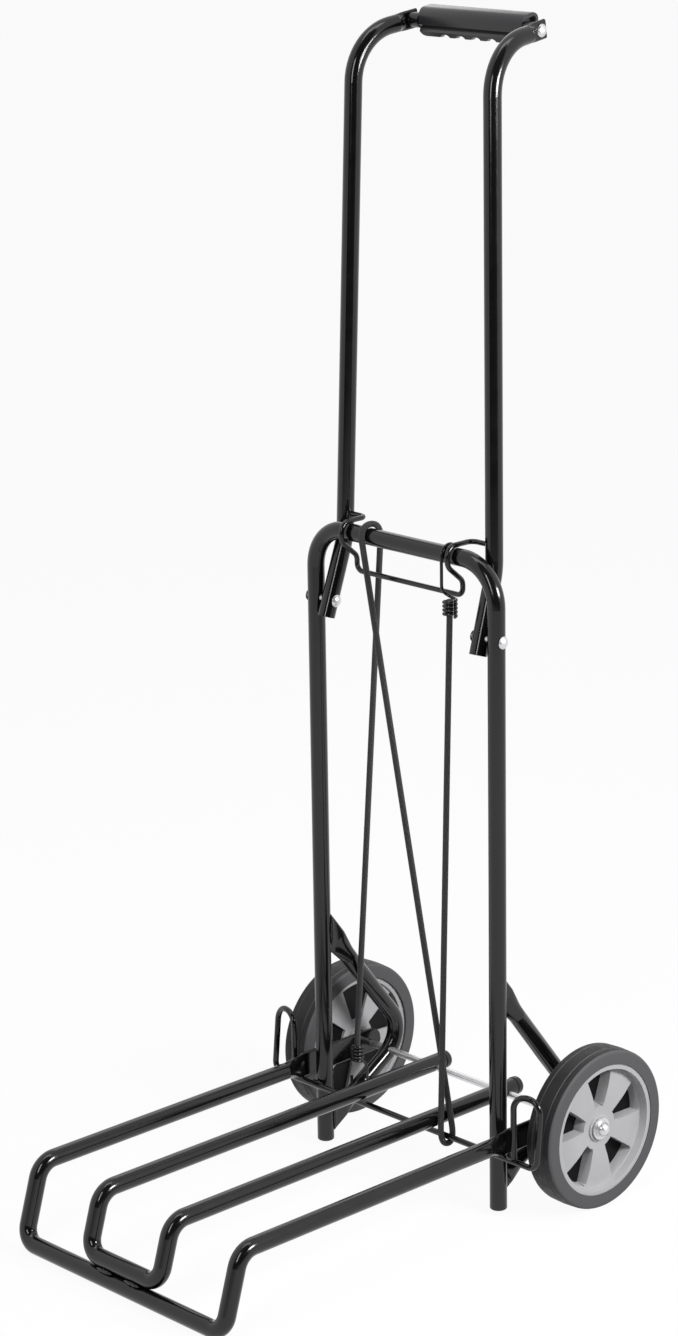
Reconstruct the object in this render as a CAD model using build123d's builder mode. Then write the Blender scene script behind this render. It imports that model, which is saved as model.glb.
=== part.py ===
from build123d import *
import math
import os

# Folding luggage trolley, in millimetres. X runs across the trolley, Y to the rear, Z up.
# The origin is on the floor, under the middle of the trolley's box.

# Tube stock and fits
tube_d = 14.0
tube_wall = 1.2
flat_w = 21.0
flat_t = 4.0
taper_len = 22.0
running_fit = 0.05
seat_gap = 0.3

# Lower frame: one inverted U tube on two legs
leg_spacing = 200.0
crossbar_z = 532.4
frame_bend = 34.0
foot_clear = 4.0
plug_head = 4.0
plug_insert = 14.0
plug_edge = 1.5

# Axle and wheels
wheel_d = 132.0
tyre_w = 25.5
tyre_depth = 12.0
tyre_clear = 4.4
tyre_edge = 2.5
axle_d = 6.0
axle_back = 68.2
wheel_gap = 0.8
hub_boss_d = 22.0
hub_boss_in = 6.5
hub_rim_t = 3.9
hub_rim_w = 22.5
hub_rim_in = 0.8
hub_back = 0.7
hub_web_t = 13.0
hub_web_in = 8.0
hub_web_bulge = 1.6
hub_windows = 5
window_in_r = 17.0
window_in_w = 10.0
window_out_w = 31.0
window_round = 1.5
window_draft = 8.0
window_floor = 1.5
window_back = 2.5
spacer_d = 16.0
washer_d = 18.0
washer_t = 1.5
cap_flange_d = 14.0
cap_flange_t = 1.2
cap_dome_d = 12.0
cap_dome_h = 5.5
axle_in_dome = 1.8

# Wheel brackets: bent tubes from the legs to the axle
bracket_inset = 4.0
bracket_top_z = 184.0
bracket_low_z = 25.0
bracket_bend = 25.0
bracket_past_axle = 22.5
bracket_elbow_rise = 10.5
bracket_flat = 8.0

# Platform: two U tubes that turn on the axle
outer_spacing = 232.0
inner_spacing = 82.0
platform_reach = 290.5
nose_lean = 17.0
rail_rise = 2.4
nose_clear = 1.0
nose_top_bend = 17.0
nose_low_bend = 13.5
front_bar_step = 3.0
blade_t = 3.5
blade_start = 10.0
blade_taper = 20.0
tail_len = 10.5
cap_d = 15.0
cap_head = 6.5
cap_insert_gap = 0.5

# Cross rod with a wheel guard at each end, one bent wire
guard_wire_d = 5.0
guard_gap = 0.5
guard_w = 24.5
guard_sweep = 5.5
guard_top_z = 111.0
guard_top_flat = 0.5
guard_low_bend = 8.0

# Folding handle
rivet_d = 6.0
rivet_head_d = 10.0
rivet_head_h = 2.4
rivet_tail_h = 0.6
pivot_drop = 59.4
handle_gap = 2.0
handle_clear = 2.0
handle_tail = 14.0
knee_drop = 10.0
knee_in = 1.5
knee_bend = 60.0
handle_rise = 385.0
handle_lean_back = 9.2
handle_top_bend = 42.0
handle_top_slope = 8.2
handle_top_in = 5.1
handle_round_back = 42.0
handle_taper = 8.0
handle_blade = 13.0
handle_blade_w = 15.0
rod_from_end = 6.0
rod_d = 6.0
grip_len = 110.0
grip_w = 22.0
grip_h = 23.8
grip_wall = 3.0
grip_above_rod = 13.0
grip_behind_rod = 4.0
grip_side_gap = 11.75
grip_play = 0.8
grip_spacer_d = 12.0
grip_top_round = 7.0
grip_corner = 11.0
grip_web_t = 4.0
grip_web_in = 8.0
scallop_r = 8.0
scallop_depth = 2.2
scallop_pitch = 16.4
scallops = 4

# Latch bail: sprung wire hooked over the crossbar
bail_wire_d = 4.2
bail_rise = 9.6
bail_half = 58.5
bail_in_tube = 4.0
bail_front = 1.8
bail_lip = 6.0
bail_back = 6.0
bail_drop = 32.0
bail_shoulder = 12.0
bail_pivot_bend = 6.0
bail_hook_bend = 9.0
bail_lip_bend = 10.0
bail_shoulder_bend = 8.0
bail_bar_bend = 6.0

# Elastic cord and its wire hooks
cord_d = 5.0
cord_gap = 0.2
cord_lead_bend = 40.0
cord_tuck = 0.03
hook_wire_d = 2.6
coil_r = 4.8
coil_pitch = 3.1
coil_turns = 4.25
cord_left_rear_x = -35.0
cord_left_front_x = -38.5
cord_loop_gap = 0.5
upper_hook_x = 50.0
upper_coil_x = 60.0
upper_coil_drop = 45.0
lower_coil_x = -93.0
lower_coil_back = 31.0
lower_hook_back = 36.0
lower_hook_room = 1.2
lower_coil_z = 81.0
hook_tip = 6.0
hook_lead = 9.0

# Places that follow from the sizes above
tube_r = tube_d / 2
bore_r = tube_r - tube_wall
leg_x = leg_spacing / 2
axle_z = wheel_d / 2
axle_r = axle_d / 2
nose_tan = math.tan(math.radians(nose_lean))
front_bar_z = tube_r + nose_clear
rail_z = axle_z + rail_rise
front_bar_reach = platform_reach + (rail_z - front_bar_z) * nose_tan
leg_y = (front_bar_reach + tube_r - axle_back - wheel_d / 2) / 2
axle_y = leg_y + axle_back
outer_x = outer_spacing / 2
inner_x = inner_spacing / 2
guard_r = guard_wire_d / 2
guard_y = leg_y - tube_r - guard_r - running_fit
rod_z = rail_z - flat_w / 2 - guard_r - guard_gap
guard_in_x = outer_x + tube_r + guard_r + guard_gap
guard_out_x = guard_in_x + guard_w
guard_top_bend = (guard_w - guard_top_flat) / 2
spacer_in_x = outer_x + blade_t / 2 + wheel_gap
tyre_in_x = outer_x + tube_r + tyre_clear
tyre_out_x = tyre_in_x + tyre_w
rim_out_x = tyre_out_x - hub_rim_in
hub_in_x = rim_out_x - hub_rim_w - hub_back
hub_out_x = tyre_out_x - hub_boss_in
rim_r = wheel_d / 2 - tyre_depth
pivot_z = crossbar_z - pivot_drop
handle_x = leg_x - tube_d - handle_gap
knee_x = handle_x - knee_in
knee_y = leg_y + tube_d + handle_clear
knee_z = crossbar_z - knee_drop
handle_top_y = knee_y + handle_lean_back
handle_top_z = crossbar_z + handle_rise
bracket_x = leg_x - bracket_inset
leg_end_z = foot_clear + plug_head
elbow_z = axle_z + bracket_elbow_rise

wheel_plane = Plane(origin=(0, axle_y, axle_z), x_dir=(1, 0, 0), z_dir=(0, -1, 0))
across = (0, 90, 0)
sides = {"left": -1, "right": 1}

os.makedirs("parts", exist_ok=True)


def add_tube(points, bends, outer_r, wall=0):
    """Sweep a tube, or a rod where the wall is 0, along runs joined by tangent bends."""
    with BuildLine() as run:
        FilletPolyline(*points, radius=bends)
    with BuildSketch(Plane(origin=run.line @ 0, z_dir=run.line % 0)) as ring:
        Circle(outer_r)
        if wall > 0:
            Circle(outer_r - wall, mode=Mode.SUBTRACT)
    sweep(sections=ring.sketch, path=run.line)
    return run.wire()


def add_flat_end(start, direction, taper, length, width, thickness):
    """Press a tube end flat: a taper from round to a thin blade, then the blade itself."""
    base = Plane(origin=start, x_dir=(1, 0, 0), z_dir=direction)
    with BuildSketch(base) as round_end:
        Circle(tube_r)
    with BuildSketch(base.offset(taper)) as blade_end:
        SlotOverall(width, thickness, rotation=90)
    loft(sections=[round_end.sketch, blade_end.sketch])
    extrude(blade_end.sketch, amount=length, dir=direction)


def add_dome(base, facing, dome_d, dome_h):
    """Put a domed head on a flat face; facing is the side of X that it looks to."""
    dome_r = dome_d / 2
    sphere_r = (dome_r**2 + dome_h**2) / (2 * dome_h)
    half_turn = math.atan2(dome_r, sphere_r - dome_h) / 2
    mid = (dome_h - sphere_r + sphere_r * math.cos(half_turn), sphere_r * math.sin(half_turn))
    with BuildSketch(Plane(origin=base, x_dir=(facing, 0, 0), z_dir=(0, -1, 0))) as profile:
        with BuildLine():
            Line((0, 0), (dome_h, 0))
            ThreePointArc((dome_h, 0), mid, (0, dome_r))
            Line((0, dome_r), (0, 0))
        make_face()
    revolve(profile.sketch, axis=Axis(base, (1, 0, 0)))


def add_windows(face_x, facing, depth, draft):
    """Sink a hub's windows from a face at face_x; facing is the side of X that they go to."""
    window_out_r = rim_r - hub_rim_t
    flare = (window_out_w - window_in_w) / (window_out_r - window_in_r)
    past_w = window_out_w + flare * hub_rim_t
    face_plane = Plane(origin=(face_x, axle_y, axle_z), x_dir=(0, 0, 1), z_dir=(facing, 0, 0))
    with BuildSketch(face_plane) as windows:
        with PolarLocations(0, hub_windows):
            Polygon(
                (window_in_r, -window_in_w / 2),
                (rim_r, -past_w / 2),
                (rim_r, past_w / 2),
                (window_in_r, window_in_w / 2),
                align=None,
            )
        Circle(window_out_r - running_fit, mode=Mode.INTERSECT)
        fillet(windows.vertices(), window_round)
    extrude(windows.sketch, amount=depth, taper=draft, mode=Mode.SUBTRACT)


def add_biarc(start, start_dir, end, end_dir):
    """Join two points with two tangent arcs that meet the given directions."""
    span = end - start
    both = start_dir + end_dir
    spread = 2 * (1 - start_dir.dot(end_dir))
    lead = span.dot(both)
    reach = (math.sqrt(lead * lead + spread * span.dot(span)) - lead) / spread
    before = start + start_dir * reach
    after = end - end_dir * reach
    middle = (before + after) / 2
    TangentArc(start, middle, tangent=start_dir)
    TangentArc(middle, end, tangent=(after - before).normalized())


def coil_point(centre, first_angle, quarter, climb):
    """Point and direction on a hook's coil; climb is its rise in a turn."""
    turn = math.radians(first_angle + 90 * quarter)
    place = Vector(math.cos(turn) * coil_r, math.sin(turn) * coil_r, climb * quarter / 4)
    heading = Vector(-math.sin(turn) * coil_r, math.cos(turn) * coil_r, climb / (2 * math.pi))
    return centre + place, heading.normalized()


def add_coil(centre, last_angle, climb):
    """Wind the coil that grips the cord, a quarter turn at a time."""
    quarters = round(coil_turns * 4)
    first_angle = last_angle - 90 * quarters
    for quarter in range(quarters):
        start, start_dir = coil_point(centre, first_angle, quarter, climb)
        end, end_dir = coil_point(centre, first_angle, quarter + 1, climb)
        add_biarc(start, start_dir, end, end_dir)
    return coil_point(centre, first_angle, quarters, climb)


def least_self_gap(path, wire_d):
    """Least gap between windings, measured on points along the path."""
    step = 0.5
    count = round(path.length / step)
    points = [path @ (i / count) for i in range(count + 1)]
    skip = round(2 * wire_d / step)
    gaps = [(points[j] - points[i]).length for i in range(count) for j in range(i + skip, count + 1)]
    return min(gaps) - wire_d


# Lower frame: both legs and the crossbar in one bent tube, drilled for the handle rivets
with BuildPart() as lower_frame:
    add_tube(
        [
            (leg_x, leg_y, leg_end_z),
            (leg_x, leg_y, crossbar_z),
            (-leg_x, leg_y, crossbar_z),
            (-leg_x, leg_y, leg_end_z),
        ],
        frame_bend,
        tube_r,
        tube_wall,
    )
    with Locations((leg_x, leg_y, pivot_z), (-leg_x, leg_y, pivot_z)):
        Cylinder(rivet_d / 2 + running_fit, 2 * tube_d, rotation=across, mode=Mode.SUBTRACT)
lower_frame.part.label = "lower_frame"
export_step(lower_frame.part, "parts/lower_frame.step")

# Foot plugs: the legs end in their rounded heads, just clear of the floor
with BuildPart() as foot_plugs:
    with Locations((leg_x, leg_y, foot_clear), (-leg_x, leg_y, foot_clear)):
        Cylinder(tube_r, plug_head, align=(Align.CENTER, Align.CENTER, Align.MIN))
    fillet(foot_plugs.edges().group_by(Axis.Z)[0], plug_edge)
    with Locations((leg_x, leg_y, leg_end_z), (-leg_x, leg_y, leg_end_z)):
        Cylinder(bore_r - running_fit, plug_insert, align=(Align.CENTER, Align.CENTER, Align.MIN))
foot_plugs.part.label = "foot_plugs"
export_step(foot_plugs.part, "parts/foot_plugs.step")

# Wheel brackets: flattened on the back of the leg, bent round at the axle
for side_name, side in sides.items():
    plane_x = side * bracket_x
    top = Vector(plane_x, leg_y + tube_r, bracket_top_z)
    low = Vector(plane_x, leg_y + tube_r, bracket_low_z)
    elbow = Vector(plane_x, axle_y + bracket_past_axle, elbow_z)
    rising = (top - elbow).normalized()
    falling = (low - elbow).normalized()
    round_top = top - rising * (bracket_flat + taper_len)
    round_low = low - falling * (bracket_flat + taper_len)
    with BuildPart() as bracket:
        add_tube([round_top, elbow, round_low], bracket_bend, tube_r, tube_wall)
        add_flat_end(round_top, rising, taper_len, bracket_flat + 2 * tube_d, flat_w, flat_t)
        add_flat_end(round_low, falling, taper_len, bracket_flat + 2 * tube_d, flat_w, flat_t)
        with Locations((plane_x, leg_y, bracket_top_z)):
            Box(
                4 * tube_d,
                6 * tube_d,
                2 * bracket_top_z,
                align=(Align.CENTER, Align.MAX, Align.CENTER),
                mode=Mode.SUBTRACT,
            )
        with Locations((side * leg_x, leg_y, bracket_top_z)):
            Cylinder(tube_r + running_fit, 3 * bracket_top_z, mode=Mode.SUBTRACT)
        with Locations((plane_x, axle_y, axle_z)):
            Cylinder(axle_r + running_fit, 3 * tube_d, rotation=across, mode=Mode.SUBTRACT)
    bracket.part.label = f"wheel_bracket_{side_name}"
    export_step(bracket.part, f"parts/wheel_bracket_{side_name}.step")

# Axle, with a spacer inside each wheel, and a washer and a domed push cap outside it
seat_x = hub_out_x + wheel_gap + washer_t
axle_half = seat_x + cap_flange_t + axle_in_dome
with BuildPart() as axle:
    with Locations((0, axle_y, axle_z)):
        Cylinder(axle_r, 2 * axle_half, rotation=across)
    chamfer(axle.edges(), axle_d / 10)
axle.part.label = "axle"
export_step(axle.part, "parts/axle.step")

with BuildPart() as wheel_spacers:
    for side in sides.values():
        with BuildSketch(Plane(origin=(side * spacer_in_x, axle_y, axle_z), z_dir=(side, 0, 0))):
            Circle(spacer_d / 2)
            Circle(axle_r + running_fit, mode=Mode.SUBTRACT)
        extrude(amount=hub_in_x - wheel_gap - spacer_in_x)
wheel_spacers.part.label = "wheel_spacers"
export_step(wheel_spacers.part, "parts/wheel_spacers.step")

with BuildPart() as axle_washers:
    for side in sides.values():
        face_x = side * (hub_out_x + wheel_gap)
        with BuildSketch(Plane(origin=(face_x, axle_y, axle_z), z_dir=(side, 0, 0))):
            Circle(washer_d / 2)
            Circle(axle_r + running_fit, mode=Mode.SUBTRACT)
        extrude(amount=washer_t)
axle_washers.part.label = "axle_washers"
export_step(axle_washers.part, "parts/axle_washers.step")

with BuildPart() as axle_caps:
    for side in sides.values():
        with BuildSketch(Plane(origin=(side * seat_x, axle_y, axle_z), z_dir=(side, 0, 0))):
            Circle(cap_flange_d / 2)
        extrude(amount=cap_flange_t)
        add_dome((side * (seat_x + cap_flange_t), axle_y, axle_z), side, cap_dome_d, cap_dome_h)
    with Locations((0, axle_y, axle_z)):
        Cylinder(axle_r + running_fit, 2 * (axle_half + running_fit), rotation=across, mode=Mode.SUBTRACT)
axle_caps.part.label = "axle_caps"
export_step(axle_caps.part, "parts/axle_caps.step")

# Wheels: a solid rubber tyre on a moulded hub with wide spokes and windows that a thin web closes
for side_name, side in sides.items():
    web_out_x = tyre_out_x - hub_web_in
    web_in_x = web_out_x - hub_web_t
    web_mid_r = (hub_boss_d / 2 + rim_r - hub_rim_t) / 2
    with BuildPart() as hub:
        with BuildSketch(wheel_plane):
            with BuildLine():
                Polyline(
                    (side * web_out_x, rim_r - hub_rim_t),
                    (side * rim_out_x, rim_r - hub_rim_t),
                    (side * rim_out_x, rim_r),
                    (side * (rim_out_x - hub_rim_w), rim_r),
                    (side * (rim_out_x - hub_rim_w), rim_r - hub_rim_t),
                    (side * web_in_x, rim_r - hub_rim_t),
                    (side * web_in_x, hub_boss_d / 2),
                    (side * hub_in_x, hub_boss_d / 2),
                    (side * hub_in_x, axle_r + running_fit),
                    (side * hub_out_x, axle_r + running_fit),
                    (side * hub_out_x, hub_boss_d / 2),
                    (side * web_out_x, hub_boss_d / 2),
                )
                ThreePointArc(
                    (side * web_out_x, hub_boss_d / 2),
                    (side * (web_out_x + hub_web_bulge), web_mid_r),
                    (side * web_out_x, rim_r - hub_rim_t),
                )
            make_face()
        revolve(axis=Axis((0, axle_y, axle_z), (1, 0, 0)))
        out_depth = tyre_out_x - web_in_x - window_back - window_floor
        add_windows(side * tyre_out_x, -side, out_depth, window_draft)
        add_windows(side * web_in_x, side, window_back, 0)
    hub.part.label = f"{side_name}_hub"
    export_step(hub.part, f"parts/{side_name}_hub.step")

    with BuildPart() as tyre:
        tyre_mid_r = wheel_d / 2 - tyre_depth / 2 + running_fit / 2
        tyre_mid_x = side * (tyre_in_x + tyre_w / 2)
        with BuildSketch(wheel_plane) as tread:
            with Locations((tyre_mid_x, tyre_mid_r)):
                Rectangle(tyre_w, tyre_depth - running_fit)
            fillet(tread.vertices().group_by(Axis.Y)[-1], tyre_edge)
        revolve(axis=Axis((0, axle_y, axle_z), (1, 0, 0)))
    tyre.part.label = f"{side_name}_tyre"
    export_step(tyre.part, f"parts/{side_name}_tyre.step")

# Guard rod: the platform blades rest on it; its ends rise as loops in front of the wheels
guard_end_z = rod_z + guard_r + running_fit
with BuildPart() as guard_rod:
    guard_half = [
        (guard_out_x, guard_y, rod_z),
        (guard_out_x, guard_y + guard_sweep, guard_top_z),
        (guard_in_x, guard_y, guard_top_z),
        (guard_in_x, guard_y, guard_end_z),
    ]
    guard_mirror = [(-x, y, z) for x, y, z in reversed(guard_half)]
    guard_bends = [guard_low_bend, guard_top_bend, guard_top_bend]
    add_tube(guard_mirror + guard_half, list(reversed(guard_bends)) + guard_bends, guard_r)
guard_rod.part.label = "guard_rod"
export_step(guard_rod.part, "parts/guard_rod.step")

# Outer platform tube: its rear ends are pressed into upright blades drilled for the axle
front_y = leg_y - front_bar_reach
taper_y = leg_y - blade_start - blade_taper
with BuildPart() as platform_outer_tube:
    outer_half = [
        (outer_x, front_y, front_bar_z),
        (outer_x, leg_y - platform_reach, rail_z),
        (outer_x, taper_y, rail_z),
    ]
    outer_mirror = [(-x, y, z) for x, y, z in reversed(outer_half)]
    add_tube(
        outer_mirror + outer_half,
        [nose_top_bend, nose_low_bend, nose_low_bend, nose_top_bend],
        tube_r,
        tube_wall,
    )
    blade_len = axle_y + flat_w / 2 - (taper_y + blade_taper)
    for side in sides.values():
        add_flat_end((side * outer_x, taper_y, rail_z), (0, 1, 0), blade_taper, blade_len, flat_w, blade_t)
        tip_plane = Plane(origin=(side * outer_x, axle_y, rail_z), x_dir=(0, 1, 0), z_dir=(1, 0, 0))
        with BuildSketch(tip_plane) as tip:
            Rectangle(flat_w, flat_w + tube_d, align=(Align.MIN, Align.CENTER))
            Circle(flat_w / 2 - running_fit, mode=Mode.SUBTRACT)
        extrude(tip.sketch, amount=tube_d, both=True, mode=Mode.SUBTRACT)
        with Locations((side * outer_x, axle_y, axle_z)):
            Cylinder(axle_r + running_fit, 2 * tube_d, rotation=across, mode=Mode.SUBTRACT)
platform_outer_tube.part.label = "platform_outer_tube"
export_step(platform_outer_tube.part, "parts/platform_outer_tube.step")

# Inner platform tube: its front bar lies on the outer one, its tails run past the axle
inner_bar_y = front_y + front_bar_step
inner_bar_z = front_bar_z + math.sqrt((tube_d + running_fit) ** 2 - front_bar_step**2)
inner_top_y = inner_bar_y + (rail_z - inner_bar_z) * nose_tan
tail_y = axle_y + tail_len
with BuildPart() as platform_inner_tube:
    inner_half = [
        (inner_x, inner_bar_y, inner_bar_z),
        (inner_x, inner_top_y, rail_z),
        (inner_x, tail_y, rail_z),
    ]
    inner_mirror = [(-x, y, z) for x, y, z in reversed(inner_half)]
    add_tube(
        inner_mirror + inner_half,
        [nose_top_bend, nose_low_bend, nose_low_bend, nose_top_bend],
        tube_r,
        tube_wall,
    )
    with Locations((inner_x, axle_y, axle_z), (-inner_x, axle_y, axle_z)):
        Cylinder(axle_r + running_fit, 2 * tube_d, rotation=across, mode=Mode.SUBTRACT)
platform_inner_tube.part.label = "platform_inner_tube"
export_step(platform_inner_tube.part, "parts/platform_inner_tube.step")

# Tail caps close the rear ends of the inner tube
with BuildPart() as tail_caps:
    for side in sides.values():
        with BuildSketch(Plane(origin=(side * inner_x, tail_y, rail_z), z_dir=(0, 1, 0))):
            Circle(cap_d / 2)
        extrude(amount=cap_head)
    fillet(tail_caps.edges().group_by(Axis.Y)[-1], cap_head / 2)
    for side in sides.values():
        with BuildSketch(Plane(origin=(side * inner_x, tail_y, rail_z), z_dir=(0, -1, 0))):
            Circle(bore_r - running_fit)
        extrude(amount=tail_len - axle_r - cap_insert_gap)
tail_caps.part.label = "tail_caps"
export_step(tail_caps.part, "parts/tail_caps.step")

# Handle rivets: the pins that the handle tubes turn on, put in from the right and hammered low on the left
rivet_out_x = leg_x + tube_r
rivet_in_x = handle_x - tube_r
rivet_grip = rivet_out_x - rivet_in_x + 2 * seat_gap
with BuildPart() as handle_rivets:
    for side in sides.values():
        with Locations((side * (rivet_out_x + rivet_in_x) / 2, leg_y, pivot_z)):
            Cylinder(rivet_d / 2, rivet_grip + rivet_tail_h, rotation=across)
        for head_x, facing in ((rivet_out_x, side), (rivet_in_x, -side)):
            head_base = (side * head_x + facing * seat_gap, leg_y, pivot_z)
            add_dome(head_base, facing, rivet_head_d, rivet_head_h if facing > 0 else rivet_tail_h)
handle_rivets.part.label = "handle_rivets"
export_step(handle_rivets.part, "parts/handle_rivets.step")

# Handle tubes: pivoted low on the legs, behind the crossbar, bent back and flattened at the top
rise_tan = math.tan(math.radians(handle_top_slope))
in_tan = math.tan(math.radians(handle_top_in))
rod_reach = (handle_round_back + handle_taper + handle_blade - rod_from_end) / math.hypot(1, rise_tan, in_tan)
rod_x = grip_len / 2 + grip_side_gap + blade_t / 2
handle_top_x = rod_x + rod_reach * in_tan
bail_z = crossbar_z + bail_rise
bail_share = (bail_z - knee_z) / (handle_top_z - knee_z)
bail_y = knee_y + (handle_top_y - knee_y) * bail_share
bail_tube_x = knee_x + (handle_top_x - knee_x) * bail_share
rod_place = Vector(0, handle_top_y + rod_reach, handle_top_z + rod_reach * rise_tan)
for side_name, side in sides.items():
    pivot = Vector(side * handle_x, leg_y, pivot_z)
    knee = Vector(side * knee_x, knee_y, knee_z)
    low_dir = (knee - pivot).normalized()
    back_dir = Vector(-side * in_tan, 1, rise_tan).normalized()
    top_corner = Vector(side * handle_top_x, handle_top_y, handle_top_z)
    round_end = top_corner + back_dir * handle_round_back
    with BuildPart() as handle_tube:
        add_tube(
            [pivot - low_dir * handle_tail, knee, top_corner, round_end],
            [knee_bend, handle_top_bend],
            tube_r,
            tube_wall,
        )
        add_flat_end(round_end, back_dir, handle_taper, handle_blade, handle_blade_w, blade_t)
        with Locations(pivot):
            Cylinder(rivet_d / 2 + running_fit, 2 * tube_d, rotation=across, mode=Mode.SUBTRACT)
        with Locations((side * (bail_tube_x - tube_r), bail_y, bail_z)):
            Cylinder(bail_wire_d / 2 + running_fit, 2 * bore_r, rotation=across, mode=Mode.SUBTRACT)
        with Locations((side * rod_x, rod_place.Y, rod_place.Z)):
            Cylinder(rod_d / 2 + running_fit, 2 * tube_d, rotation=across, mode=Mode.SUBTRACT)
    handle_tube.part.label = f"handle_tube_{side_name}"
    export_step(handle_tube.part, f"parts/handle_tube_{side_name}.step")

# Grip rod: riveted over outside both flattened tube ends
rod_half = rod_x + blade_t / 2 + rivet_head_d / 2 * in_tan
with BuildPart() as grip_rod:
    with Locations(rod_place):
        Cylinder(rod_d / 2, 2 * rod_half + rivet_head_h, rotation=across)
    for side in sides.values():
        head_base = (side * (rod_half + seat_gap), rod_place.Y, rod_place.Z)
        add_dome(head_base, side, rivet_head_d, rivet_head_h)
grip_rod.part.label = "grip_rod"
export_step(grip_rod.part, "parts/grip_rod.step")

# Grip spacers: sleeves on the rod that keep the grip in the middle
with BuildPart() as grip_spacers:
    for side in sides.values():
        sleeve_start = (side * (grip_len / 2 + grip_play), rod_place.Y, rod_place.Z)
        with BuildSketch(Plane(origin=sleeve_start, z_dir=(side, 0, 0))):
            Circle(grip_spacer_d / 2)
            Circle(rod_d / 2 + running_fit, mode=Mode.SUBTRACT)
        extrude(amount=grip_side_gap - 2 * grip_play)
grip_spacers.part.label = "grip_spacers"
export_step(grip_spacers.part, "parts/grip_spacers.step")

# Grip: a moulded trough, open below, with finger scallops along its lower edges
grip_top_z = rod_place.Z + grip_above_rod
grip_y = rod_place.Y + grip_behind_rod
grip_plane = Plane(origin=(0, grip_y, grip_top_z), x_dir=(0, 1, 0), z_dir=(1, 0, 0))
front_plane = Plane(origin=(0, grip_y, grip_top_z), x_dir=(1, 0, 0), z_dir=(0, -1, 0))
with BuildPart() as grip:
    with BuildSketch(grip_plane) as trough:
        Rectangle(grip_w, grip_h, align=(Align.CENTER, Align.MAX))
        fillet(trough.vertices().group_by(Axis.Y)[-1], grip_top_round)
    extrude(amount=grip_len / 2, both=True)
    with BuildSketch(grip_plane) as hollow:
        with Locations((0, -grip_wall)):
            Rectangle(grip_w - 2 * grip_wall, grip_h, align=(Align.CENTER, Align.MAX))
        fillet(hollow.vertices().group_by(Axis.Y)[-1], grip_top_round - grip_wall)
    extrude(hollow.sketch, amount=grip_len, both=True, mode=Mode.SUBTRACT)
    for side in sides.values():
        with Locations((side * (grip_len / 2 - grip_web_in), grip_y, grip_top_z - grip_wall / 2)):
            Box(
                grip_web_t,
                grip_w - grip_wall,
                grip_h,
                align=(Align.CENTER, Align.CENTER, Align.MAX),
            )
    with BuildSketch(front_plane) as outline:
        Rectangle(grip_len, grip_h, align=(Align.CENTER, Align.MAX))
        fillet(outline.vertices().group_by(Axis.Y)[0], grip_corner)
        fillet(outline.vertices().group_by(Axis.Y)[-1], grip_corner / 2)
        with Locations((0, -grip_h - scallop_r + scallop_depth)):
            with GridLocations(scallop_pitch, 0, scallops, 1):
                Circle(scallop_r, mode=Mode.SUBTRACT)
    extrude(outline.sketch, amount=grip_w, both=True, mode=Mode.INTERSECT)
    with Locations(rod_place):
        Cylinder(rod_d / 2 + running_fit, 2 * grip_len, rotation=across, mode=Mode.SUBTRACT)
grip.part.label = "grip"
export_step(grip.part, "parts/grip.step")

# Latch bail: turns in the handle tubes and hooks over the crossbar, with a pull bar below it
bail_r = bail_wire_d / 2
bail_front_y = leg_y - tube_r - bail_r - bail_front
bail_back_y = leg_y + bail_back
bail_lip_z = crossbar_z - bail_lip
bail_bar_z = crossbar_z - bail_drop
with BuildPart() as latch_bail:
    bail_side = [
        (bail_tube_x - bail_in_tube, bail_y, bail_z),
        (bail_half, bail_y, bail_z),
        (bail_half, bail_front_y, bail_z),
        (bail_half, bail_front_y, bail_lip_z),
        (bail_half, bail_back_y, bail_bar_z + bail_shoulder),
        (bail_half, bail_back_y, bail_bar_z),
    ]
    bail_mirror = [(-x, y, z) for x, y, z in reversed(bail_side)]
    bail_bends = [bail_pivot_bend, bail_hook_bend, bail_lip_bend, bail_shoulder_bend, bail_bar_bend]
    add_tube(bail_side + bail_mirror, bail_bends + list(reversed(bail_bends)), bail_r)
latch_bail.part.label = "latch_bail"
export_step(latch_bail.part, "parts/latch_bail.step")

# Elastic cord: from the left bracket up behind the crossbar, over it, down under the guard rod
# and up to the hook on the crossbar
cord_r = cord_d / 2
wrap_r = tube_r + cord_r + cord_gap
loop_r = guard_r + cord_r + cord_gap
loop_z = rod_z - loop_r
loop_front_x = inner_x + tube_r + cord_r + cord_loop_gap
pass_share = (rail_z - loop_z) / (crossbar_z + wrap_r - loop_z)
pass_x = inner_x + tube_r + cord_r + 2 * seat_gap
loop_rear_x = (pass_x - pass_share * cord_left_front_x) / (1 - pass_share)
coil_len = coil_turns * coil_pitch
upper_coil_z = crossbar_z - upper_coil_drop
cord_front_y = leg_y - wrap_r
with BuildPart() as bungee_cord:
    cord_points = [
        (lower_coil_x, leg_y + lower_coil_back, lower_coil_z - coil_len),
        (lower_coil_x, leg_y + lower_coil_back, lower_coil_z + hook_wire_d),
        (cord_left_rear_x, leg_y + wrap_r, crossbar_z + wrap_r),
        (cord_left_front_x, cord_front_y, crossbar_z + wrap_r),
        (loop_rear_x, guard_y + loop_r, loop_z),
        (loop_front_x, guard_y - loop_r, loop_z),
        (upper_coil_x, cord_front_y, upper_coil_z + coil_len),
    ]
    wrap_bend = wrap_r * (1 - cord_tuck)
    loop_bend = loop_r * (1 - cord_tuck)
    cord_bends = [cord_lead_bend, wrap_bend, wrap_bend, loop_bend, loop_bend]
    cord_line = add_tube(cord_points, cord_bends, cord_r)
print("cord radii", [round(bend, 2) for bend in cord_bends], "length", round(cord_line.length, 1))
print("cord volume ratio", round(bungee_cord.part.volume / (math.pi * cord_r**2 * cord_line.length), 4))
bungee_cord.part.label = "bungee_cord"
export_step(bungee_cord.part, "parts/bungee_cord.step")

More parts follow.
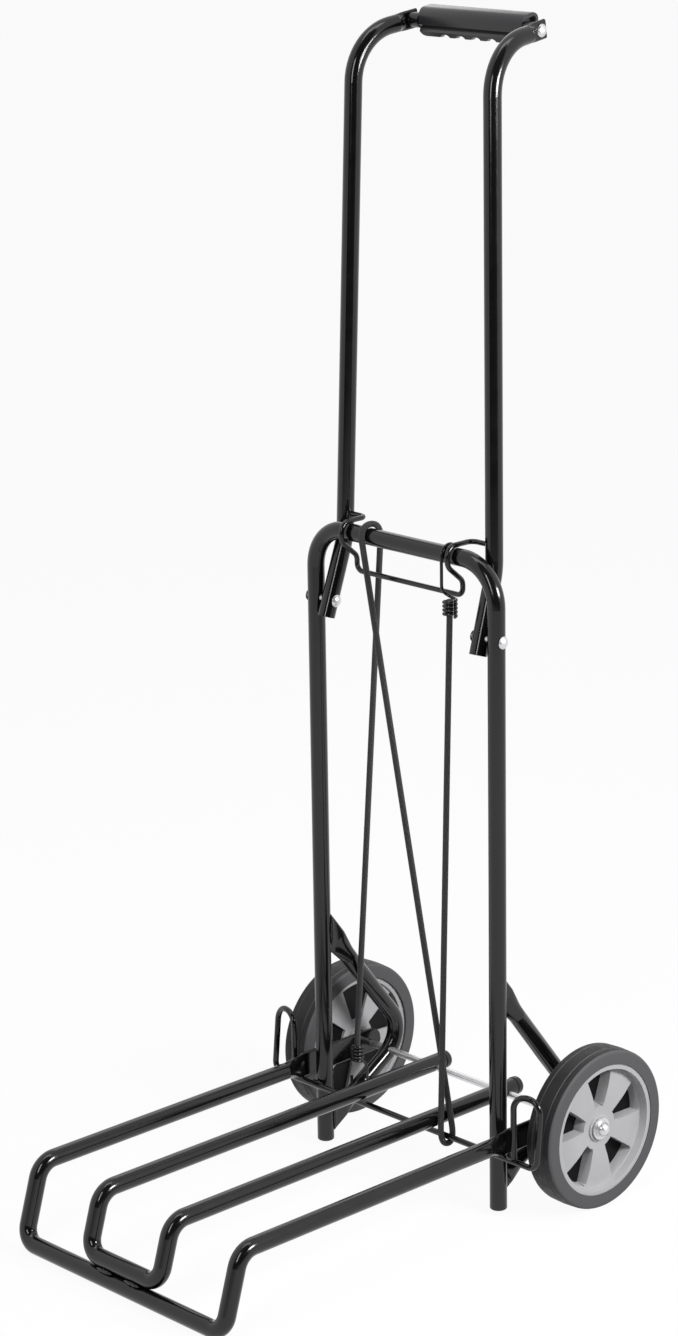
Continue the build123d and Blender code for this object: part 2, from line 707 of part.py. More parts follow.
# Upper hook: coiled on the cord's end and hooked over the crossbar
hook_r = hook_wire_d / 2
over_r = tube_r + hook_r + seat_gap
with BuildPart() as bungee_hook_upper:
    with BuildLine() as upper_run:
        coil_end, coil_dir = add_coil(Vector(upper_coil_x, cord_front_y, upper_coil_z), 90, coil_pitch)
        shank = Vector(upper_hook_x, leg_y - over_r, upper_coil_z + coil_len + hook_lead)
        add_biarc(coil_end, coil_dir, shank, Vector(0, 0, 1))
        front = Vector(upper_hook_x, leg_y - over_r, crossbar_z)
        rear = Vector(upper_hook_x, leg_y + over_r, crossbar_z)
        Line(shank, front)
        TangentArc(front, rear, tangent=(0, 0, 1))
        Line(rear, rear - Vector(0, 0, hook_tip))
    with BuildSketch(Plane(origin=upper_run.line @ 0, z_dir=upper_run.line % 0)):
        Circle(hook_r)
    sweep(path=upper_run.line)
print("upper hook self gap", round(least_self_gap(upper_run.wire(), hook_wire_d), 3))
bungee_hook_upper.part.label = "bungee_hook_upper"
export_step(bungee_hook_upper.part, "parts/bungee_hook_upper.step")

# Lower hook: coiled on the cord's other end and hooked under the left wheel bracket
arm_run = axle_back + bracket_past_axle - tube_r
arm_rise = elbow_z - bracket_low_z
arm_z = bracket_low_z + arm_rise * (lower_hook_back - tube_r) / arm_run
arm_secant = math.hypot(arm_run, arm_rise) / arm_run
crook_r = tube_r + hook_r + lower_hook_room
crook_z = arm_z - (tube_r + seat_gap + hook_r) * arm_secant + crook_r
with BuildPart() as bungee_hook_lower:
    with BuildLine() as lower_run:
        hook_y = leg_y + lower_hook_back
        coil_centre = Vector(lower_coil_x, leg_y + lower_coil_back, lower_coil_z)
        coil_end, coil_dir = add_coil(coil_centre, 0, -coil_pitch)
        inside = Vector(-bracket_x + crook_r, hook_y, crook_z)
        outside = Vector(-bracket_x - crook_r, hook_y, crook_z)
        shank = Vector(inside.X, hook_y, (coil_end.Z + crook_z) / 2)
        add_biarc(coil_end, coil_dir, shank, Vector(0, 0, -1))
        Line(shank, inside)
        TangentArc(inside, outside, tangent=(0, 0, -1))
        Line(outside, outside + Vector(0, 0, hook_tip))
    with BuildSketch(Plane(origin=lower_run.line @ 0, z_dir=lower_run.line % 0)):
        Circle(hook_r)
    sweep(path=lower_run.line)
print("lower hook self gap", round(least_self_gap(lower_run.wire(), hook_wire_d), 3))
bungee_hook_lower.part.label = "bungee_hook_lower"
export_step(bungee_hook_lower.part, "parts/bungee_hook_lower.step")
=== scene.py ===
"""Dress the folding luggage trolley: enamelled tubes, moulded wheels and grip, elastic cord, studio."""

import math

import bpy
from bpy.props import FloatProperty, IntProperty, PointerProperty, StringProperty
from mathutils import Matrix, Vector


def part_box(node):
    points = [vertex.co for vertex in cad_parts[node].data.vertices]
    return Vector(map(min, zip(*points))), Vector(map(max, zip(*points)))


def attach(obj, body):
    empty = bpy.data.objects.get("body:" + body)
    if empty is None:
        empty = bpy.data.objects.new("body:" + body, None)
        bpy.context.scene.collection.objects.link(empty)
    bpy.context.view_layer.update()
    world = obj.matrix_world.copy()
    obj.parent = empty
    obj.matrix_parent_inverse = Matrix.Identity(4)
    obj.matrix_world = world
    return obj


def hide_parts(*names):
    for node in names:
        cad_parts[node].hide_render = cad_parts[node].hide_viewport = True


bl_info = {
    "name": "Luggage trolley dresser",
    "version": (1, 0, 0),
    "blender": (4, 5, 0),
    "location": "View3D > Sidebar > Trolley",
    "description": "Models the soft and moulded pieces of a luggage trolley and gives it its finishes",
    "category": "Object",
}

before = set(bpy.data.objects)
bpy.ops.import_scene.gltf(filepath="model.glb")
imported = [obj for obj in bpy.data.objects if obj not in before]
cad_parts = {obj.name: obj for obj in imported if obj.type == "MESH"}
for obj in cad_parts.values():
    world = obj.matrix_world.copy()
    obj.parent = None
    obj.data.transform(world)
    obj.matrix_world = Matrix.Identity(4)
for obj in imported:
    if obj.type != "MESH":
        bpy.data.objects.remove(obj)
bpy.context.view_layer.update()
MM = 0.001


def middle(node):
    """Centre of a frame node's box."""
    low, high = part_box(node)
    return (Vector(low) + Vector(high)) / 2


def extent(node):
    """Size of a frame node's box."""
    low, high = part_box(node)
    return Vector(high) - Vector(low)


LEG_Y = middle("lower_frame").y
AXLE = middle("axle")
TUBE_D = extent("lower_frame").y
GUARD_D = 5 * MM
ROD_BORE_R = 3.05 * MM
ROD_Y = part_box("guard_rod")[0][1] + GUARD_D / 2
ROD_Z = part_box("guard_rod")[0][2] + GUARD_D / 2
LEG_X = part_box("lower_frame")[1][0] - TUBE_D / 2
CROSSBAR_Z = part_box("lower_frame")[1][2] - TUBE_D / 2


# Settings

class TrolleySizes(bpy.types.PropertyGroup):
    """Sizes of the pieces that are modelled here."""

    cord_d: FloatProperty(
        name="Cord diameter", description="Thickness of the elastic cord", default=5 * MM, unit="LENGTH")
    cord_length: FloatProperty(
        name="Cord length", description="Length of the elastic cord between its hooks", default=1.45,
        unit="LENGTH")
    tyre_shoulder: FloatProperty(
        name="Tyre shoulder", description="Radius of the tyre's outer edges", default=2.6 * MM, unit="LENGTH")
    tyre_groove: FloatProperty(
        name="Tyre groove", description="Depth of the mould line beside the tread", default=0.5 * MM,
        unit="LENGTH")
    hub_windows: IntProperty(
        name="Hub windows", description="Number of pockets between each hub's spokes", default=5, min=3)
    window_angle: FloatProperty(
        name="Window angle", description="Angle that one pocket takes up", default=math.radians(39),
        subtype="ANGLE")
    window_in_r: FloatProperty(
        name="Window start", description="Radius at which the pockets begin", default=17 * MM, unit="LENGTH")
    hub_edge: FloatProperty(
        name="Hub edge", description="Rounding asked for at the hub's edges; almost none comes out",
        default=1.1 * MM, unit="LENGTH")
    grip_wall: FloatProperty(
        name="Grip wall", description="Thickness of the grip's shell", default=3 * MM, unit="LENGTH")
    grip_lip: FloatProperty(
        name="Finger lip", description="Height of the flared lip along the grip's lower edges",
        default=6.5 * MM, unit="LENGTH")
    grip_flare: FloatProperty(
        name="Lip flare", description="How far the lip stands out from the grip's sides", default=1.6 * MM,
        unit="LENGTH")
    grip_crown: FloatProperty(
        name="Grip crown", description="Rounding along the grip's upper edges", default=6 * MM, unit="LENGTH")
    grip_slope: FloatProperty(
        name="Crown slope", description="Fall of the grip's crown from back to front", default=3 * MM,
        unit="LENGTH")
    grip_corner: FloatProperty(
        name="Grip corner", description="Rounding of the grip's lower corners", default=11 * MM,
        unit="LENGTH")
    scallops: IntProperty(
        name="Finger scallops", description="Number of finger scallops", default=4, min=1)
    scallop_pitch: FloatProperty(
        name="Finger pitch", description="Spacing of the finger scallops", default=16.4 * MM, unit="LENGTH")
    scallop_depth: FloatProperty(
        name="Finger depth", description="Depth of the finger scallops", default=2.2 * MM, unit="LENGTH")
    scallop_r: FloatProperty(
        name="Finger radius", description="Radius of the finger scallops", default=8 * MM, unit="LENGTH")


class TrolleyColours(bpy.types.PropertyGroup):
    """Colours of the finishes, as sRGB hex."""

    enamel: StringProperty(name="Enamel", description="Gloss black stoving enamel", default="#0d0d0e")
    zinc: StringProperty(name="Zinc", description="Bright zinc plate", default="#dadadc")
    hub: StringProperty(name="Hub", description="Moulded grey polypropylene", default="#b2b2b4")
    rubber: StringProperty(name="Rubber", description="Bloomed rubber of the tyre walls", default="#4e4e50")
    # Painted shade: the treads get this darker copy of the rubber, where less light falls on them than on the
    # walls.
    tread: StringProperty(name="Tread", description="Rubber of the treads, rubbed clean", default="#1f1f20")
    grip: StringProperty(name="Grip", description="Satin moulded grip", default="#2e2d30")
    cord: StringProperty(name="Cord", description="Braided cover of the elastic cord", default="#262628")
    plug: StringProperty(name="Plug", description="Moulded black plugs and sleeves", default="#101011")
    # Painted shade: this near-black is painted on the floors of the hub's pockets, where shade falls deep
    # between the spokes.
    web: StringProperty(name="Web", description="Black web behind the hub's spokes", default="#0c0c0d")


# Materials

def linear(hex_colour):
    """sRGB hex to linear red, green, blue and alpha."""
    parts = [int(hex_colour[i:i + 2], 16) / 255 for i in (1, 3, 5)]
    return [c / 12.92 if c <= 0.04045 else ((c + 0.055) / 1.055) ** 2.4 for c in parts] + [1.0]


def add_node(tree, kind, inputs=None, **settings):
    """Add a node, set its attributes, and fill or link its inputs."""
    node = tree.nodes.new(kind)
    for name, value in settings.items():
        setattr(node, name, value)
    for name, value in (inputs or {}).items():
        if isinstance(value, bpy.types.NodeSocket):
            tree.links.new(value, node.inputs[name])
        else:
            node.inputs[name].default_value = value
    return node


def shade(colour, lift):
    """The same colour, lighter or darker by a factor."""
    return [min(c * lift, 1.0) for c in colour[:3]] + [1.0]


def moulded_finish(name, colour, *, mottle, patch_mm, grain_mm, grain_depth_mm, roughness, spread):
    """A surface with slow colour mottling, a roughness that wanders with it, and a fine bumpy grain."""
    noise_low, noise_high = 0.3, 0.7
    grain_strength = 0.6
    material = bpy.data.materials.new(name)
    material.use_nodes = True
    tree = material.node_tree
    surface = tree.nodes["Principled BSDF"]
    place = add_node(tree, "ShaderNodeTexCoord").outputs["Object"]
    patches = add_node(
        tree, "ShaderNodeTexNoise", {"Vector": place, "Scale": 1 / (patch_mm * MM), "Detail": 4.0})
    tint = add_node(
        tree, "ShaderNodeMix",
        {"Factor": patches.outputs["Fac"], "A": shade(colour, 1 - mottle), "B": shade(colour, 1 + mottle)},
        data_type="RGBA")
    wander = add_node(
        tree, "ShaderNodeMapRange",
        {"Value": patches.outputs["Fac"], "From Min": noise_low, "From Max": noise_high,
         "To Min": roughness - spread, "To Max": roughness + spread})
    grain = add_node(
        tree, "ShaderNodeTexNoise", {"Vector": place, "Scale": 1 / (grain_mm * MM), "Detail": 2.0})
    bump = add_node(
        tree, "ShaderNodeBump",
        {"Height": grain.outputs["Fac"], "Strength": grain_strength, "Distance": grain_depth_mm * MM})
    tree.links.new(tint.outputs["Result"], surface.inputs["Base Color"])
    tree.links.new(wander.outputs["Result"], surface.inputs["Roughness"])
    tree.links.new(bump.outputs["Normal"], surface.inputs["Normal"])
    return material, surface


def stoving_enamel(colours):
    """Stoved black enamel on steel tube: deep gloss, with the faint orange peel of a dipped coat."""
    material, surface = moulded_finish(
        "stoving_enamel", linear(colours.enamel), mottle=0.25, patch_mm=18,
        grain_mm=3.0, grain_depth_mm=0.02, roughness=0.14, spread=0.03)
    surface.inputs["IOR"].default_value = 1.5
    return material


def zinc_plate(colours):
    """Bright zinc plate on steel: metallic, with soft spangled patches from the bath."""
    material, surface = moulded_finish(
        "zinc_plate", linear(colours.zinc), mottle=0.08, patch_mm=6,
        grain_mm=1.2, grain_depth_mm=0.02, roughness=0.36, spread=0.07)
    surface.inputs["Metallic"].default_value = 1.0
    return material


def hub_polypropylene(colours):
    """Grey polypropylene from a mould: even, slightly waxy, with a faint spark texture."""
    material, surface = moulded_finish(
        "hub_polypropylene", linear(colours.hub), mottle=0.05, patch_mm=18,
        grain_mm=0.9, grain_depth_mm=0.03, roughness=0.44, spread=0.05)
    surface.inputs["IOR"].default_value = 1.49
    return material


def tyre_rubber(colours):
    """Black solid rubber with a dry bloom: dull, a little uneven, slightly rough to the touch."""
    material, surface = moulded_finish(
        "tyre_rubber", linear(colours.rubber), mottle=0.22, patch_mm=9,
        grain_mm=0.8, grain_depth_mm=0.06, roughness=0.68, spread=0.08)
    surface.inputs["IOR"].default_value = 1.5
    return material


def tread_painted_shade(colours):
    """The same rubber painted blacker than the walls as shade on the treads: streaked, a little shinier."""
    material, surface = moulded_finish(
        "tread_painted_shade", linear(colours.tread), mottle=0.5, patch_mm=5,
        grain_mm=0.8, grain_depth_mm=0.06, roughness=0.55, spread=0.1)
    surface.inputs["IOR"].default_value = 1.4
    return material


def grip_vinyl(colours):
    """Moulded vinyl grip: satin, with a pebbled grain that breaks up its highlights."""
    material, surface = moulded_finish(
        "grip_vinyl", linear(colours.grip), mottle=0.1, patch_mm=18,
        grain_mm=1.1, grain_depth_mm=0.015, roughness=0.27, spread=0.03)
    surface.inputs["IOR"].default_value = 1.5
    return material


def plug_polyethylene(colours):
    """Black polyethylene plugs: soft satin, a little waxy."""
    material, surface = moulded_finish(
        "plug_polyethylene", linear(colours.plug), mottle=0.1, patch_mm=12,
        grain_mm=0.7, grain_depth_mm=0.02, roughness=0.24, spread=0.04)
    surface.inputs["IOR"].default_value = 1.51
    return material


def pocket_shade_black(colours):
    """Painted shade on the hub's polypropylene deep between the spokes: near-black and dull, so that the
    pockets stay dark.
    """
    material, surface = moulded_finish(
        "pocket_shade_black", linear(colours.web), mottle=0.1, patch_mm=12,
        grain_mm=0.9, grain_depth_mm=0.03, roughness=0.6, spread=0.05)
    surface.inputs["IOR"].default_value = 1.49
    surface.inputs["Specular IOR Level"].default_value = 0.15
    return material


def braided_polyester(colours, length, diameter):
    """Braided cover of an elastic cord: crossing strands, drawn at 2.5 mm so that they show."""
    material = bpy.data.materials.new("braided_polyester")
    material.use_nodes = True
    tree = material.node_tree
    surface = tree.nodes["Principled BSDF"]
    strand = 2.5 * MM
    # The braid is painted darker in the valleys between strands and lighter on their crests: painted shade
    # and painted highlight.
    valley_shade, crest_highlight = 0.45, 1.3
    along = length / strand
    around = round(math.pi * diameter / strand)
    uv = add_node(tree, "ShaderNodeTexCoord").outputs["UV"]
    weaves = []
    for turn in (1, -1):
        place = add_node(tree, "ShaderNodeMapping", {"Vector": uv, "Scale": (along, turn * around, 1)})
        weaves.append(add_node(
            tree, "ShaderNodeTexWave",
            {"Vector": place.outputs["Vector"], "Scale": math.tau / 10},
            wave_type="BANDS", bands_direction="DIAGONAL"))
    height = add_node(
        tree, "ShaderNodeMath",
        {0: weaves[0].outputs["Fac"], 1: weaves[1].outputs["Fac"]}, operation="MAXIMUM")
    colour = linear(colours.cord)
    tint = add_node(
        tree, "ShaderNodeMix",
        {"Factor": height.outputs["Value"], "A": shade(colour, valley_shade), "B": shade(colour, crest_highlight)},
        data_type="RGBA")
    bump = add_node(
        tree, "ShaderNodeBump", {"Height": height.outputs["Value"], "Strength": 0.8, "Distance": 0.3 * MM})
    tree.links.new(tint.outputs["Result"], surface.inputs["Base Color"])
    tree.links.new(bump.outputs["Normal"], surface.inputs["Normal"])
    surface.inputs["Roughness"].default_value = 0.62
    surface.inputs["Sheen Weight"].default_value = 0.15
    return material


# Modelling helpers

def make_active(piece):
    """Leave edit mode, and select this piece alone."""
    if bpy.context.object and bpy.context.object.mode != "OBJECT":
        bpy.ops.object.mode_set(mode="OBJECT")
    bpy.ops.object.select_all(action="DESELECT")
    if piece:
        piece.select_set(True)
        bpy.context.view_layer.objects.active = piece


def start_piece(name, add_primitive, **sizes):
    """Add a primitive with nothing else selected and name it."""
    make_active(None)
    add_primitive(**sizes)
    piece = bpy.context.object
    piece.name = name
    piece.data.name = name
    return piece


def settle(piece):
    """Put a piece's place into its mesh, so that its object sits at the origin."""
    make_active(piece)
    bpy.ops.object.transform_apply(location=True, rotation=True, scale=True)


def copied(piece, name):
    """A second piece of the same shape with a mesh of its own."""
    twin = piece.copy()
    twin.data = piece.data.copy()
    twin.name = name
    twin.data.name = name
    bpy.context.scene.collection.objects.link(twin)
    return twin


def mirrored(piece, name):
    """The same piece on the trolley's other side."""
    twin = copied(piece, name)
    make_active(twin)
    bpy.ops.object.mode_set(mode="EDIT")
    bpy.ops.mesh.select_all(action="SELECT")
    bpy.ops.transform.resize(value=(-1, 1, 1), center_override=(0, 0, 0))
    bpy.ops.mesh.normals_make_consistent(inside=False)
    bpy.ops.object.mode_set(mode="OBJECT")
    return twin


def turned(piece, angle):
    """Turn a piece about the axle."""
    piece.matrix_world = (
        Matrix.Translation(AXLE) @ Matrix.Rotation(angle, 4, "X") @ Matrix.Translation(-AXLE))
    settle(piece)
    return piece


def select_edges(piece, wanted):
    """In edit mode, select the edges whose two ends satisfy a test."""
    make_active(piece)
    bpy.ops.object.mode_set(mode="EDIT")
    bpy.ops.mesh.select_mode(type="EDGE")
    bpy.ops.mesh.select_all(action="DESELECT")
    bpy.ops.object.mode_set(mode="OBJECT")
    for edge in piece.data.edges:
        ends = [piece.data.vertices[i].co for i in edge.vertices]
        edge.select = wanted(ends[0], ends[1])
    bpy.ops.object.mode_set(mode="EDIT")


def select_faces(piece, wanted):
    """In edit mode, select the faces that satisfy a test."""
    make_active(piece)
    bpy.ops.object.mode_set(mode="EDIT")
    bpy.ops.mesh.select_mode(type="FACE")
    bpy.ops.mesh.select_all(action="DESELECT")
    bpy.ops.object.mode_set(mode="OBJECT")
    for face in piece.data.polygons:
        face.select = wanted(face)
    bpy.ops.object.mode_set(mode="EDIT")


def apply_modifier(piece, kind, **settings):
    """Add a modifier, set it and apply it."""
    make_active(piece)
    modifier = piece.modifiers.new(kind.lower(), kind)
    for name, value in settings.items():
        setattr(modifier, name, value)
    bpy.ops.object.modifier_apply(modifier=modifier.name)


def carve(piece, tool, operation="DIFFERENCE"):
    """Cut one piece by another, or keep what they share, and delete the tool."""
    apply_modifier(piece, "BOOLEAN", operation=operation, object=tool, solver="EXACT")
    bpy.data.objects.remove(tool)
    if not piece.data.polygons:
        raise RuntimeError(f"nothing is left of {piece.name}")


def smooth(piece, angle):
    """Smooth shading that keeps edges sharper than an angle."""
    make_active(piece)
    bpy.ops.object.shade_smooth_by_angle(angle=math.radians(angle))


def start_point(name, place):
    """A new piece of a single vertex, left in edit mode, ready to be extruded."""
    piece = start_piece(name, bpy.ops.mesh.primitive_plane_add, size=MM, location=(0, 0, 0))
    bpy.ops.object.mode_set(mode="EDIT")
    bpy.ops.mesh.select_mode(type="VERT")
    bpy.ops.mesh.select_all(action="SELECT")
    bpy.ops.mesh.merge(type="CENTER")
    bpy.ops.transform.translate(value=place)
    return piece


def outlined(name, corners, rounded):
    """Draw a flat closed outline, left in edit mode; rounded maps a corner's number to its radius."""
    piece = start_point(name, corners[0])
    for before, after in zip(corners, corners[1:]):
        bpy.ops.mesh.extrude_vertices_move(TRANSFORM_OT_translate={"value": after - before})
    bpy.ops.mesh.select_all(action="SELECT")
    bpy.ops.mesh.edge_face_add()
    for index, radius in rounded.items():
        bpy.ops.mesh.select_all(action="DESELECT")
        bpy.ops.object.mode_set(mode="OBJECT")
        for vertex in piece.data.vertices:
            vertex.select = (vertex.co - corners[index]).length < 0.01 * MM
        bpy.ops.object.mode_set(mode="EDIT")
        bpy.ops.mesh.bevel(offset=radius, segments=8, affect="VERTICES")
    bpy.ops.mesh.select_all(action="SELECT")
    return piece


def close_up(piece):
    """Merge doubles, turn all faces outward and leave edit mode."""
    bpy.ops.mesh.select_all(action="SELECT")
    bpy.ops.mesh.remove_doubles(threshold=0.005 * MM)
    bpy.ops.mesh.normals_make_consistent(inside=False)
    bpy.ops.object.mode_set(mode="OBJECT")
    return piece


def spun(name, profile, rounded, steps, angle=math.tau):
    """Turn a profile of (along X, radius) points about the axle, all the way round or by an angle."""
    corners = [Vector((x, AXLE.y, AXLE.z + r)) for x, r in profile]
    piece = outlined(name, corners, rounded)
    bpy.ops.mesh.delete(type="ONLY_FACE")
    bpy.ops.mesh.select_all(action="SELECT")
    bpy.ops.mesh.spin(steps=steps, angle=angle, center=AXLE, axis=(1, 0, 0), use_auto_merge=True)
    if angle < math.tau:
        bpy.ops.mesh.select_all(action="SELECT")
        bpy.ops.mesh.fill_holes(sides=0)
    return close_up(piece)


def prism(name, corners, rounded, run):
    """Draw an outline and pull it along a straight run."""
    piece = outlined(name, corners, rounded)
    bpy.ops.mesh.extrude_region_move(TRANSFORM_OT_translate={"value": run})
    return close_up(piece)


def dress(piece, body, slot, material, *nodes):
    """Give a piece its finish, its body and the frame nodes that it stands for."""
    if not piece.data.materials:
        piece.data.materials.append(material)
    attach(piece, body)
    if nodes:
        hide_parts(*nodes)


# Pieces

class TROLLEY_OT_stage(bpy.types.Operator):
    """Set the floor, the studio light and the camera"""

    bl_idname = "trolley.stage"
    bl_label = "Stage"

    camera_azimuth = math.radians(46.58)
    floor_size = 30
    floor_drop = 0.2 * MM
    floor_glow = 0.94
    lamp_aim_z = 0.5
    room_light = 0.13
    backdrop_white = 0.96

    def execute(self, context):
        self.add_floor()
        self.add_lamps()
        self.add_dark_screen()
        self.set_world(context.scene)
        self.set_camera(context.scene)
        context.scene.view_settings.view_transform = "Standard"
        return {"FINISHED"}

    def seen_share(self, tree, share):
        """A share of 1 or less for rays that see the background, and 0 for rays that only carry light."""
        path = add_node(tree, "ShaderNodeLightPath")
        direct = add_node(
            tree, "ShaderNodeMath",
            {0: path.outputs["Is Camera Ray"], 1: path.outputs["Is Glossy Ray"]}, operation="MAXIMUM")
        seen = add_node(
            tree, "ShaderNodeMath",
            {0: direct.outputs["Value"], 1: path.outputs["Is Transmission Ray"]}, operation="MAXIMUM")
        return add_node(
            tree, "ShaderNodeMath",
            {0: seen.outputs["Value"], 1: share}, operation="MULTIPLY").outputs["Value"]

    def add_floor(self):
        """A white sweep: its glow hides its shading but not its shadow, and it throws little light up."""
        floor = start_piece(
            "floor", bpy.ops.mesh.primitive_plane_add, size=self.floor_size,
            location=(0, 0, -self.floor_drop))
        settle(floor)
        material = bpy.data.materials.new("white_sweep")
        material.use_nodes = True
        tree = material.node_tree
        surface = tree.nodes["Principled BSDF"]
        surface.inputs["Roughness"].default_value = 0.9
        tint = add_node(
            tree, "ShaderNodeMix",
            {"Factor": self.seen_share(tree, 1.0), "A": linear("#8a8a8a"), "B": linear("#fafafa")},
            data_type="RGBA")
        tree.links.new(tint.outputs["Result"], surface.inputs["Base Color"])
        glow = add_node(tree, "ShaderNodeEmission", {"Color": linear("#ffffff"), "Strength": 1.0})
        mixed = add_node(
            tree, "ShaderNodeMixShader",
            {0: self.seen_share(tree, self.floor_glow),
             1: surface.outputs["BSDF"], 2: glow.outputs["Emission"]})
        tree.links.new(mixed.outputs["Shader"], tree.nodes["Material Output"].inputs["Surface"])
        floor.data.materials.append(material)

    def add_lamps(self):
        """A key box on the wheel side, a slim strip by the camera, a card behind and a box overhead."""
        # Each lamp has its place, width and height in metres, and its power in watts.
        lamps = {
            "key_box": ((1.48, LEG_Y + 0.26, 1.04), 0.55, 0.4, 28),
            "slim_strip": ((0.6, LEG_Y - 1.37, 1.19), 0.26, 0.94, 7),
            "rear_card": ((-1.08, LEG_Y + 1.03, 1.38), 1.0, 0.5, 1.6),
            "top_box": ((0.3, -0.3, 2.8), 1.6, 1.6, 22),
        }
        for name, (place, width, height, power) in lamps.items():
            lamp = bpy.data.lights.new(name, "AREA")
            lamp.shape = "RECTANGLE"
            lamp.size = width
            lamp.size_y = height
            lamp.energy = power
            holder = bpy.data.objects.new(name, lamp)
            holder.location = place
            aim = Vector((0, LEG_Y, self.lamp_aim_z)) - Vector(place)
            holder.rotation_euler = aim.to_track_quat("-Z", "Y").to_euler()
            holder.visible_camera = False
            bpy.context.scene.collection.objects.link(holder)

    def add_dark_screen(self):
        """The unlit studio behind the camera, curved overhead, that the enamel mirrors as its black core."""
        section = [(-1.75, 0), (-1.75, 1.2), (-1.55, 1.9), (-1.05, 2.4), (-0.3, 2.6)]
        corners = [Vector((0, y, z)) for y, z in section]
        spread = math.radians(100)
        steps = 40
        fade_z = 0.3
        foot_glow, wall_glow = 0.9, 0.04
        screen = start_point("dark_screen", corners[0])
        for before, after in zip(corners, corners[1:]):
            bpy.ops.mesh.extrude_vertices_move(TRANSFORM_OT_translate={"value": after - before})
        bpy.ops.mesh.select_all(action="SELECT")
        bpy.ops.mesh.spin(steps=steps, angle=spread, center=(0, 0, 0), axis=(0, 0, 1))
        bpy.ops.object.mode_set(mode="OBJECT")
        centre = sum((vertex.co for vertex in screen.data.vertices), Vector())
        screen.rotation_euler.z = self.camera_azimuth - math.atan2(centre.x, -centre.y)
        screen.location.y = LEG_Y
        settle(screen)
        material = bpy.data.materials.new("unlit_studio")
        material.use_nodes = True
        tree = material.node_tree
        place = add_node(tree, "ShaderNodeTexCoord").outputs["Object"]
        height = add_node(tree, "ShaderNodeSeparateXYZ", {"Vector": place}).outputs["Z"]
        fade = add_node(
            tree, "ShaderNodeMapRange",
            {"Value": height, "From Min": 0.0, "From Max": fade_z, "To Min": foot_glow, "To Max": wall_glow})
        glow = add_node(tree, "ShaderNodeEmission", {"Strength": fade.outputs["Result"]})
        tree.links.new(glow.outputs["Emission"], tree.nodes["Material Output"].inputs["Surface"])
        screen.data.materials.append(material)
        screen.visible_camera = False
        screen.visible_diffuse = False
        screen.visible_shadow = False
        screen.visible_transmission = False

    def set_world(self, scene):
        """A dim room that lights the object, and a white backdrop for rays that see it."""
        world = bpy.data.worlds.new("studio")
        scene.world = world
        world.use_nodes = True
        tree = world.node_tree
        tree.nodes.clear()
        room = add_node(
            tree, "ShaderNodeBackground", {"Color": linear("#ffffff"), "Strength": self.room_light})
        white = add_node(
            tree, "ShaderNodeBackground", {"Color": linear("#ffffff"), "Strength": self.backdrop_white})
        mixed = add_node(
            tree, "ShaderNodeMixShader",
            {0: self.seen_share(tree, 1.0), 1: room.outputs["Background"], 2: white.outputs["Background"]})
        add_node(tree, "ShaderNodeOutputWorld", {"Surface": mixed.outputs["Shader"]})

    def set_camera(self, scene):
        """Stand where the photograph was taken from: front right, a little above the platform."""
        photo_height_px = 1336
        focal_px = 3607.7
        distance = 2.5735
        azimuth = self.camera_azimuth
        elevation = math.radians(15.8)
        roll = math.radians(-0.91)
        target = Vector((0.1445, LEG_Y - 0.2078, 0.5034))
        back = Vector((
            math.sin(azimuth) * math.cos(elevation),
            -math.cos(azimuth) * math.cos(elevation),
            math.sin(elevation)))
        level = Vector((math.cos(azimuth), math.sin(azimuth), 0))
        upright = back.cross(level)
        right = level * math.cos(roll) + upright * math.sin(roll)
        up = back.cross(right)
        camera = bpy.data.cameras.new("photo_camera")
        camera.sensor_fit = "VERTICAL"
        camera.sensor_height = 36
        camera.lens = focal_px / photo_height_px * camera.sensor_height
        holder = bpy.data.objects.new("photo_camera", camera)
        turn = Matrix((right, up, back)).transposed().to_4x4()
        holder.matrix_world = Matrix.Translation(target + back * distance) @ turn
        scene.collection.objects.link(holder)
        scene.camera = holder


